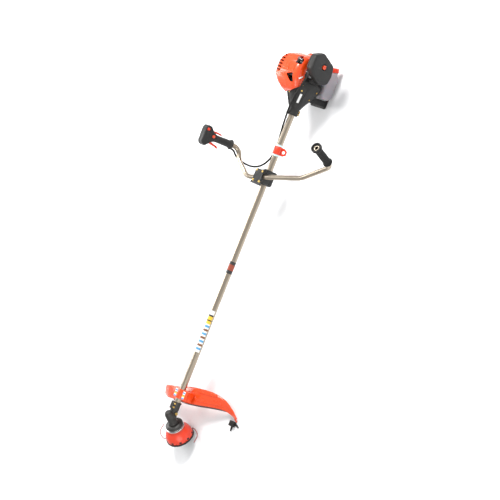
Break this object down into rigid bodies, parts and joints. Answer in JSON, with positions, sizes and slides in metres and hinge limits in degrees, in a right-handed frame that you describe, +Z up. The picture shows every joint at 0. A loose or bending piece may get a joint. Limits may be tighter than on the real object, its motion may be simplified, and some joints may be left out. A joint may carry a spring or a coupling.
{
  "type": "string trimmer",
  "caption": "Petrol string trimmer with a straight shaft, a two-handed bar, a throttle handle, a debris guard and a bump-feed line head.",
  "frame": {"origin": "underside of the stand foot below the engine, in the upright plane through the shaft", "axes": "+X along the shaft towards the cutting head, +Y to the left of the person who walks behind the head, +Z up"},
  "size_m": [1.8457, 0.6889, 0.3857],
  "materials": {
    "orange_plastic": "gloss",
    "red_plastic": "satin",
    "dark_plastic": "satin",
    "black_plastic": "matt",
    "rubber": "matt",
    "tube_aluminium": "satin",
    "cast_alloy": "sand-cast",
    "dark_cast": "black painted casting",
    "orange_paint": "painted",
    "steel": "turned",
    "zinc_steel": "yellow zinc",
    "dark_steel": "heat-darkened",
    "tank_plastic": "milky",
    "nylon_line": "smooth"
  },
  "bodies": {
    "machine": {"shaft_tube": "tube_aluminium", "shaft_bushings": "black_plastic", "gearbox_housing": "dark_cast", "gearbox_bearings": "steel", "dust_cup": "dark_cast", "guard": "orange_plastic", "guard_skirt": "black_plastic", "line_cutter_blade": "dark_steel", "guard_bracket": "orange_paint", "handlebar": "tube_aluminium", "clamp_middle": "dark_plastic", "clamp_caps": "dark_plastic", "left_grip": "rubber", "throttle_handle_left": "dark_plastic", "throttle_handle_right": "dark_plastic", "throttle_cable": "rubber", "harness_lug": "red_plastic", "lug_sleeve": "tank_plastic", "fasteners": "zinc_steel", "clutch_housing": "dark_plastic", "crankcase": "dark_cast", "cylinder": "cast_alloy", "spark_plug": "rubber", "muffler": "dark_steel", "cylinder_cover": "orange_plastic", "starter_housing": "orange_plastic", "carburetor": "cast_alloy", "air_filter_box": "black_plastic", "air_filter_cover": "dark_plastic", "fuel_tank": "tank_plastic", "tank_stand": "black_plastic"},
    "head": {"output_spindle": "steel", "bevel_gear": "steel", "drive_disc": "steel", "support_flange": "steel", "head_housing": "red_plastic", "head_base": "black_plastic", "line_eyelets": "steel", "trimmer_line_a": "nylon_line", "trimmer_line_b": "nylon_line", "feed_spring": "steel"},
    "spool": {"line_spool": "black_plastic", "wound_line": "nylon_line", "bump_knob": "black_plastic"},
    "drive_line": {"drive_shaft": "steel", "clutch_drum": "steel", "bevel_pinion": "steel"},
    "crank": {"crankshaft": "steel", "flywheel": "cast_alloy", "clutch_hub": "dark_steel"},
    "piston": {"piston": "steel"},
    "trigger": {"throttle_trigger": "red_plastic"},
    "lockout": {"throttle_lockout": "red_plastic"},
    "stop_switch": {"stop_switch": "red_plastic"},
    "start_button": {"start_throttle_button": "orange_plastic"},
    "starter_pull": {"starter_grip": "black_plastic", "starter_rope": "rubber"},
    "choke": {"choke_lever": "black_plastic"},
    "filter_knob": {"filter_knob": "orange_plastic"},
    "fuel_cap": {"fuel_cap": "red_plastic"}
  },
  "joints": [
    {"name": "trimmer_head_spin", "type": "hinge", "parent": "machine", "child": "head", "pos_m": [1.578, 0, 0.13337], "axis": [0.5736, 0, -0.8192], "continuous": true},
    {"name": "bump_feed", "type": "slide", "parent": "head", "child": "spool", "axis": [-0.5736, 0, 0.8192], "range_m": [0, 0.005], "stiffness_N_per_m": 4000, "springref_m": -0.004, "deforming": ["feed_spring"]},
    {"name": "drive_shaft_spin", "type": "hinge", "parent": "machine", "child": "drive_line", "pos_m": [0, 0, 0.13337], "axis": [1, 0, 0], "continuous": true},
    {"name": "crankshaft_spin", "type": "hinge", "parent": "machine", "child": "crank", "pos_m": [0, 0, 0.13337], "axis": [1, 0, 0], "continuous": true},
    {"name": "piston_slide", "type": "slide", "parent": "machine", "child": "piston", "axis": [0, 0, 1], "range_m": [-0.026, 0]},
    {"name": "throttle_trigger", "type": "hinge", "parent": "machine", "child": "trigger", "pos_m": [0.37907, -0.21757, 0.34147], "axis": [0, 0.9793, 0.2023], "range_deg": [0, 12], "stiffness_Nm_per_rad": 1.5, "springref_deg": -8.59},
    {"name": "throttle_lockout", "type": "hinge", "parent": "machine", "child": "lockout", "pos_m": [0.34508, -0.21774, 0.3423], "axis": [0, 0.9793, 0.2023], "range_deg": [-7, 0], "stiffness_Nm_per_rad": 1, "springref_deg": 8.59},
    {"name": "stop_switch", "type": "slide", "parent": "machine", "child": "stop_switch", "axis": [-0.0248, 0.2022, -0.979], "range_m": [0, 0.003]},
    {"name": "start_throttle_button", "type": "slide", "parent": "machine", "child": "start_button", "axis": [0, -0.9793, -0.2023], "range_m": [0, 0.003], "stiffness_N_per_m": 600, "springref_m": -0.002},
    {"name": "starter_pull", "type": "slide", "parent": "machine", "child": "starter_pull", "axis": [0, -0.9404, -0.3401], "range_m": [0, 0.7], "stiffness_N_per_m": 12, "springref_m": -0.8, "deforming": ["starter_rope"]},
    {"name": "choke_lever", "type": "hinge", "parent": "machine", "child": "choke", "pos_m": [-0.0725, 0.078, 0.17937], "axis": [0, 1, 0], "range_deg": [0, 35]},
    {"name": "filter_knob_turn", "type": "hinge", "parent": "machine", "child": "filter_knob", "pos_m": [-0.094, 0.114, 0.16937], "axis": [0, 1, 0], "range_deg": [0, 90]},
    {"name": "fuel_cap_turn", "type": "hinge", "parent": "machine", "child": "fuel_cap", "pos_m": [-0.104, 0.056, 0.03537], "axis": [-0.9627, 0, 0.2707], "range_deg": [0, 540]}
  ],
  "couplings": [
    {"joint": "drive_shaft_spin", "follows": "trimmer_head_spin", "ratio": -1.3636}
  ]
}
